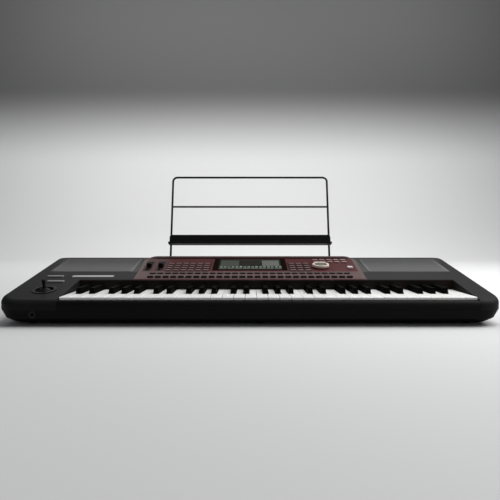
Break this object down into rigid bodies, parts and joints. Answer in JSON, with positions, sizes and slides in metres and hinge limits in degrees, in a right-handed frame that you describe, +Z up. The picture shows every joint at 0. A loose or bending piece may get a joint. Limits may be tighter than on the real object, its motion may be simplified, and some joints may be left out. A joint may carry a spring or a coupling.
{
  "type": "arranger keyboard",
  "caption": "Wedge-shaped arranger keyboard with a full-size sprung key bed, a raised burgundy control panel with display and dial, a speaker at each end and a wire music rest.",
  "frame": {"origin": "centre of the bounding box's bottom face, on the table the feet stand on", "axes": "+X along the keys towards the high notes, +Y away from the player, +Z up"},
  "size_m": [1.03, 0.4118, 0.3414],
  "materials": {
    "case_plastic": "fine textured moulding",
    "base_plastic": "fine textured moulding",
    "fall_plastic": "dark satin strip",
    "panel_burgundy": "satin burgundy film",
    "button_grey": "satin grey",
    "button_dark": "satin dark grey",
    "key_white": "polished ivory white",
    "key_black": "satin black",
    "rubber": "matt",
    "felt": "pressed felt",
    "steel": "zinc plated",
    "black_metal": "matt black coat",
    "grille_metal": "matt dark grey coat",
    "board_green": "solder mask",
    "cone_paper": "pressed paper",
    "screen_glass": "smoked glossy",
    "module_plastic": "display module",
    "chrome": "bright",
    "socket_plastic": "moulded"
  },
  "bodies": {
    "case": {"top_case": "case_plastic", "left_end_case": "case_plastic", "right_end_case": "case_plastic", "key_slip": "case_plastic", "bottom_case": "base_plastic", "rubber_feet": "rubber", "case_screws": "steel", "fallboard": "fall_plastic", "key_frame": "steel", "key_pivot_rod": "steel", "key_stop_felt": "felt", "key_contact_board": "board_green", "key_contact_strip": "rubber", "key_return_springs": "steel", "control_panel": "panel_burgundy", "display_glass": "screen_glass", "display_module": "module_plastic", "panel_board": "board_green", "speaker_grilles": "grille_metal", "speaker_baffles": "base_plastic", "woofer_baskets": "black_metal", "woofer_cones": "cone_paper", "tweeters": "socket_plastic", "joystick_cup": "base_plastic", "line_jacks": "socket_plastic", "midi_sockets": "socket_plastic", "headphone_jack": "socket_plastic", "usb_sockets": "steel", "power_inlet": "socket_plastic", "main_board": "board_green", "amplifier_board": "board_green", "power_supply": "board_green"},
    "key_c": {"key_c": "key_white"},
    "key_d": {"key_d": "key_white"},
    "key_e": {"key_e": "key_white"},
    "key_f": {"key_f": "key_white"},
    "key_g": {"key_g": "key_white"},
    "key_a": {"key_a": "key_white"},
    "key_b": {"key_b": "key_white"},
    "key_top_c": {"key_top_c": "key_white"},
    "key_c_sharp": {"key_c_sharp": "key_black"},
    "key_d_sharp": {"key_d_sharp": "key_black"},
    "key_f_sharp": {"key_f_sharp": "key_black"},
    "key_g_sharp": {"key_g_sharp": "key_black"},
    "key_a_sharp": {"key_a_sharp": "key_black"},
    "front_row_buttons": {"front_row_buttons": "button_grey"},
    "rear_row_buttons": {"rear_row_buttons": "button_grey"},
    "style_buttons": {"style_buttons": "button_dark"},
    "sound_buttons": {"sound_buttons": "button_dark"},
    "mode_buttons": {"mode_buttons": "button_dark"},
    "power_button": {"power_button": "button_grey"},
    "assign_switches": {"assign_switches": "button_grey"},
    "master_volume_cap": {"master_volume_cap": "button_dark"},
    "balance_cap": {"balance_cap": "button_dark"},
    "value_dial": {"value_dial": "chrome"},
    "joystick_gimbal": {"joystick_gimbal": "base_plastic"},
    "joystick_stick": {"joystick_stick": "key_black"},
    "music_rest": {"music_rest_frame": "black_metal", "music_rest_crossbar": "black_metal", "music_rest_shelf": "black_metal"}
  },
  "joints": [
    {"name": "key_c_press", "type": "hinge", "parent": "case", "child": "key_c", "pos_m": [0, -0.0019, 0.047], "axis": [1, 0, 0], "range_deg": [0, 2.7], "stiffness_Nm_per_rad": 2, "springref_deg": -14.32},
    {"name": "key_d_press", "type": "hinge", "parent": "case", "child": "key_d", "pos_m": [0, -0.0019, 0.047], "axis": [1, 0, 0], "range_deg": [0, 2.7], "stiffness_Nm_per_rad": 2, "springref_deg": -14.32},
    {"name": "key_e_press", "type": "hinge", "parent": "case", "child": "key_e", "pos_m": [0, -0.0019, 0.047], "axis": [1, 0, 0], "range_deg": [0, 2.7], "stiffness_Nm_per_rad": 2, "springref_deg": -14.32},
    {"name": "key_f_press", "type": "hinge", "parent": "case", "child": "key_f", "pos_m": [0, -0.0019, 0.047], "axis": [1, 0, 0], "range_deg": [0, 2.7], "stiffness_Nm_per_rad": 2, "springref_deg": -14.32},
    {"name": "key_g_press", "type": "hinge", "parent": "case", "child": "key_g", "pos_m": [0, -0.0019, 0.047], "axis": [1, 0, 0], "range_deg": [0, 2.7], "stiffness_Nm_per_rad": 2, "springref_deg": -14.32},
    {"name": "key_a_press", "type": "hinge", "parent": "case", "child": "key_a", "pos_m": [0, -0.0019, 0.047], "axis": [1, 0, 0], "range_deg": [0, 2.7], "stiffness_Nm_per_rad": 2, "springref_deg": -14.32},
    {"name": "key_b_press", "type": "hinge", "parent": "case", "child": "key_b", "pos_m": [0, -0.0019, 0.047], "axis": [1, 0, 0], "range_deg": [0, 2.7], "stiffness_Nm_per_rad": 2, "springref_deg": -14.32},
    {"name": "key_top_c_press", "type": "hinge", "parent": "case", "child": "key_top_c", "pos_m": [0, -0.0019, 0.047], "axis": [1, 0, 0], "range_deg": [0, 2.7], "stiffness_Nm_per_rad": 0.4, "springref_deg": -14.32},
    {"name": "key_c_sharp_press", "type": "hinge", "parent": "case", "child": "key_c_sharp", "pos_m": [0, -0.0019, 0.047], "axis": [1, 0, 0], "range_deg": [0, 2.7], "stiffness_Nm_per_rad": 2, "springref_deg": -14.32},
    {"name": "key_d_sharp_press", "type": "hinge", "parent": "case", "child": "key_d_sharp", "pos_m": [0, -0.0019, 0.047], "axis": [1, 0, 0], "range_deg": [0, 2.7], "stiffness_Nm_per_rad": 2, "springref_deg": -14.32},
    {"name": "key_f_sharp_press", "type": "hinge", "parent": "case", "child": "key_f_sharp", "pos_m": [0, -0.0019, 0.047], "axis": [1, 0, 0], "range_deg": [0, 2.7], "stiffness_Nm_per_rad": 2, "springref_deg": -14.32},
    {"name": "key_g_sharp_press", "type": "hinge", "parent": "case", "child": "key_g_sharp", "pos_m": [0, -0.0019, 0.047], "axis": [1, 0, 0], "range_deg": [0, 2.7], "stiffness_Nm_per_rad": 2, "springref_deg": -14.32},
    {"name": "key_a_sharp_press", "type": "hinge", "parent": "case", "child": "key_a_sharp", "pos_m": [0, -0.0019, 0.047], "axis": [1, 0, 0], "range_deg": [0, 2.7], "stiffness_Nm_per_rad": 2, "springref_deg": -14.32},
    {"name": "front_row_buttons_press", "type": "slide", "parent": "case", "child": "front_row_buttons", "axis": [0, 0.1908, -0.9816], "range_m": [0, 0.0012], "stiffness_N_per_m": 400, "springref_m": -0.002},
    {"name": "rear_row_buttons_press", "type": "slide", "parent": "case", "child": "rear_row_buttons", "axis": [0, 0.1908, -0.9816], "range_m": [0, 0.0012], "stiffness_N_per_m": 400, "springref_m": -0.002},
    {"name": "style_buttons_press", "type": "slide", "parent": "case", "child": "style_buttons", "axis": [0, 0.1908, -0.9816], "range_m": [0, 0.0012], "stiffness_N_per_m": 400, "springref_m": -0.002},
    {"name": "sound_buttons_press", "type": "slide", "parent": "case", "child": "sound_buttons", "axis": [0, 0.1908, -0.9816], "range_m": [0, 0.0012], "stiffness_N_per_m": 300, "springref_m": -0.002},
    {"name": "mode_buttons_press", "type": "slide", "parent": "case", "child": "mode_buttons", "axis": [0, 0.1908, -0.9816], "range_m": [0, 0.0012], "stiffness_N_per_m": 300, "springref_m": -0.002},
    {"name": "power_button_press", "type": "slide", "parent": "case", "child": "power_button", "axis": [0, 0.1908, -0.9816], "range_m": [0, 0.0015], "stiffness_N_per_m": 300, "springref_m": -0.002},
    {"name": "assign_switches_press", "type": "slide", "parent": "case", "child": "assign_switches", "axis": [0, 0.1908, -0.9816], "range_m": [0, 0.0012], "stiffness_N_per_m": 300, "springref_m": -0.002},
    {"name": "master_volume_cap_slide", "type": "slide", "parent": "case", "child": "master_volume_cap", "axis": [0, 0.9816, 0.1908], "range_m": [-0.032, 0.032]},
    {"name": "balance_cap_slide", "type": "slide", "parent": "case", "child": "balance_cap", "axis": [0, 0.9816, 0.1908], "range_m": [-0.032, 0.032]},
    {"name": "value_dial_turn", "type": "hinge", "parent": "case", "child": "value_dial", "pos_m": [0.174, 0.0335, 0.10261], "axis": [0, -0.1908, 0.9816], "continuous": true},
    {"name": "joystick_fore_aft", "type": "hinge", "parent": "case", "child": "joystick_gimbal", "pos_m": [-0.438, -0.13361, 0.05383], "axis": [1, 0, 0], "range_deg": [-12, 12], "stiffness_Nm_per_rad": 0.08},
    {"name": "joystick_left_right", "type": "hinge", "parent": "joystick_gimbal", "child": "joystick_stick", "pos_m": [-0.438, -0.13361, 0.05383], "axis": [0, 0.9816, 0.1908], "range_deg": [-12, 12], "stiffness_Nm_per_rad": 0.08},
    {"name": "music_rest_lift", "type": "slide", "parent": "case", "child": "music_rest", "axis": [0, 0.2504, 0.9681], "range_m": [0, 0.03]}
  ]
}
